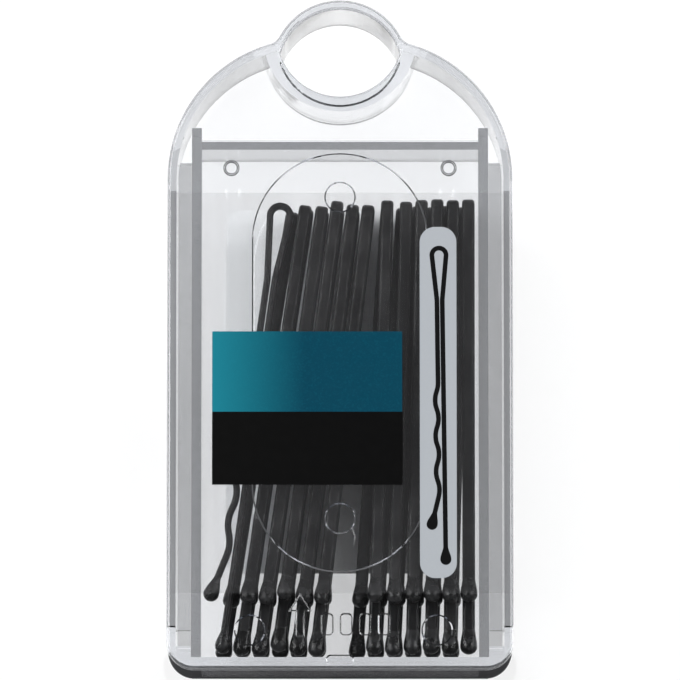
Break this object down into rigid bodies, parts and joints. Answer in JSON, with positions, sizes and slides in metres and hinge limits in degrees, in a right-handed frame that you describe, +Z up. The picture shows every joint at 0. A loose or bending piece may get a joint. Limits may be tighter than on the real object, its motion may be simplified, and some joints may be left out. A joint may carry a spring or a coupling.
{
  "type": "bobby pin slide case",
  "caption": "Clear plastic slide case with a hanging loop, filled with black ball-tipped bobby pins; a sliding cover with film label opens over the tray.",
  "frame": {"origin": "under the middle of the case, on the surface that it lies on", "axes": "+X across the case to the right, +Y along the case towards the hanging loop, +Z up out of the front plate"},
  "size_m": [0.0384, 0.075, 0.0111],
  "materials": {
    "tray_plastic": "clear polished polystyrene",
    "cover_plastic": "clear polished polystyrene",
    "film": "hazy clear printed film",
    "label_paper": "uncoated white paper",
    "enamelled_wire": "black enamel on spring steel",
    "tip_resin": "black dipped resin"
  },
  "bodies": {
    "tray": {"tray": "tray_plastic", "back_label": "label_paper"},
    "cover": {"cover": "cover_plastic", "wrap_label": "film"},
    "pin_01": {"pin_01_wire": "enamelled_wire", "pin_01_tips": "tip_resin"},
    "pin_02": {"pin_02_wire": "enamelled_wire", "pin_02_tips": "tip_resin"},
    "pin_03": {"pin_03_wire": "enamelled_wire", "pin_03_tips": "tip_resin"},
    "pin_04": {"pin_04_wire": "enamelled_wire", "pin_04_tips": "tip_resin"},
    "pin_05": {"pin_05_wire": "enamelled_wire", "pin_05_tips": "tip_resin"},
    "pin_06": {"pin_06_wire": "enamelled_wire", "pin_06_tips": "tip_resin"},
    "pin_07": {"pin_07_wire": "enamelled_wire", "pin_07_tips": "tip_resin"},
    "pin_08": {"pin_08_wire": "enamelled_wire", "pin_08_tips": "tip_resin"},
    "pin_09": {"pin_09_wire": "enamelled_wire", "pin_09_tips": "tip_resin"},
    "pin_10": {"pin_10_wire": "enamelled_wire", "pin_10_tips": "tip_resin"},
    "pin_11": {"pin_11_wire": "enamelled_wire", "pin_11_tips": "tip_resin"},
    "pin_12": {"pin_12_wire": "enamelled_wire", "pin_12_tips": "tip_resin"},
    "pin_13": {"pin_13_wire": "enamelled_wire", "pin_13_tips": "tip_resin"},
    "pin_14": {"pin_14_wire": "enamelled_wire", "pin_14_tips": "tip_resin"},
    "pin_15": {"pin_15_wire": "enamelled_wire", "pin_15_tips": "tip_resin"},
    "pin_16": {"pin_16_wire": "enamelled_wire", "pin_16_tips": "tip_resin"},
    "pin_17": {"pin_17_wire": "enamelled_wire", "pin_17_tips": "tip_resin"},
    "pin_18": {"pin_18_wire": "enamelled_wire", "pin_18_tips": "tip_resin"},
    "pin_19": {"pin_19_wire": "enamelled_wire", "pin_19_tips": "tip_resin"},
    "pin_20": {"pin_20_wire": "enamelled_wire", "pin_20_tips": "tip_resin"},
    "pin_21": {"pin_21_wire": "enamelled_wire", "pin_21_tips": "tip_resin"},
    "pin_22": {"pin_22_wire": "enamelled_wire", "pin_22_tips": "tip_resin"},
    "pin_23": {"pin_23_wire": "enamelled_wire", "pin_23_tips": "tip_resin"},
    "pin_24": {"pin_24_wire": "enamelled_wire", "pin_24_tips": "tip_resin"}
  },
  "joints": [
    {"name": "cover_slide", "type": "slide", "parent": "tray", "child": "cover", "axis": [0, 1, 0], "range_m": [0, 0.045]},
    {"name": "pin_01_shift", "type": "slide", "parent": "tray", "child": "pin_01", "axis": [0.1388, 0.9903, 0], "range_m": [0, 0.004]},
    {"name": "pin_02_shift", "type": "slide", "parent": "tray", "child": "pin_02", "axis": [0.1424, 0.9898, 0], "range_m": [0, 0.004]},
    {"name": "pin_03_shift", "type": "slide", "parent": "tray", "child": "pin_03", "axis": [0.1376, 0.9905, 0], "range_m": [0, 0.004]},
    {"name": "pin_04_shift", "type": "slide", "parent": "tray", "child": "pin_04", "axis": [0.1304, 0.9915, 0], "range_m": [0, 0.004]},
    {"name": "pin_05_shift", "type": "slide", "parent": "tray", "child": "pin_05", "axis": [0.1231, 0.9924, 0], "range_m": [0, 0.004]},
    {"name": "pin_06_shift", "type": "slide", "parent": "tray", "child": "pin_06", "axis": [0.1159, 0.9933, 0], "range_m": [0, 0.004]},
    {"name": "pin_07_shift", "type": "slide", "parent": "tray", "child": "pin_07", "axis": [0.0296, 0.9996, 0], "range_m": [0, 0.004]},
    {"name": "pin_08_shift", "type": "slide", "parent": "tray", "child": "pin_08", "axis": [0.0296, 0.9996, 0], "range_m": [0, 0.004]},
    {"name": "pin_09_shift", "type": "slide", "parent": "tray", "child": "pin_09", "axis": [0.0223, 0.9998, 0], "range_m": [0, 0.004]},
    {"name": "pin_10_shift", "type": "slide", "parent": "tray", "child": "pin_10", "axis": [0.0151, 0.9999, 0], "range_m": [0, 0.004]},
    {"name": "pin_11_shift", "type": "slide", "parent": "tray", "child": "pin_11", "axis": [0.0078, 1, 0], "range_m": [0, 0.004]},
    {"name": "pin_12_shift", "type": "slide", "parent": "tray", "child": "pin_12", "axis": [0.0006, 1, 0], "range_m": [0, 0.004]},
    {"name": "pin_13_shift", "type": "slide", "parent": "tray", "child": "pin_13", "axis": [0.1521, 0.9884, 0], "range_m": [0, 0.004]},
    {"name": "pin_14_shift", "type": "slide", "parent": "tray", "child": "pin_14", "axis": [0.1448, 0.9895, 0], "range_m": [0, 0.004]},
    {"name": "pin_15_shift", "type": "slide", "parent": "tray", "child": "pin_15", "axis": [0.1376, 0.9905, 0], "range_m": [0, 0.004]},
    {"name": "pin_16_shift", "type": "slide", "parent": "tray", "child": "pin_16", "axis": [0.1298, 0.9915, 0], "range_m": [0, 0.004]},
    {"name": "pin_17_shift", "type": "slide", "parent": "tray", "child": "pin_17", "axis": [0.1225, 0.9925, 0], "range_m": [0, 0.004]},
    {"name": "pin_18_shift", "type": "slide", "parent": "tray", "child": "pin_18", "axis": [0.1147, 0.9934, 0], "range_m": [0, 0.004]},
    {"name": "pin_19_shift", "type": "slide", "parent": "tray", "child": "pin_19", "axis": [0.067, 0.9978, 0], "range_m": [0, 0.004]},
    {"name": "pin_20_shift", "type": "slide", "parent": "tray", "child": "pin_20", "axis": [0.0597, 0.9982, 0], "range_m": [0, 0.004]},
    {"name": "pin_21_shift", "type": "slide", "parent": "tray", "child": "pin_21", "axis": [0.0525, 0.9986, 0], "range_m": [0, 0.004]},
    {"name": "pin_22_shift", "type": "slide", "parent": "tray", "child": "pin_22", "axis": [0.0447, 0.999, 0], "range_m": [0, 0.004]},
    {"name": "pin_23_shift", "type": "slide", "parent": "tray", "child": "pin_23", "axis": [0.0362, 0.9993, 0], "range_m": [0, 0.004]},
    {"name": "pin_24_shift", "type": "slide", "parent": "tray", "child": "pin_24", "axis": [0.0284, 0.9996, 0], "range_m": [0, 0.004]}
  ]
}
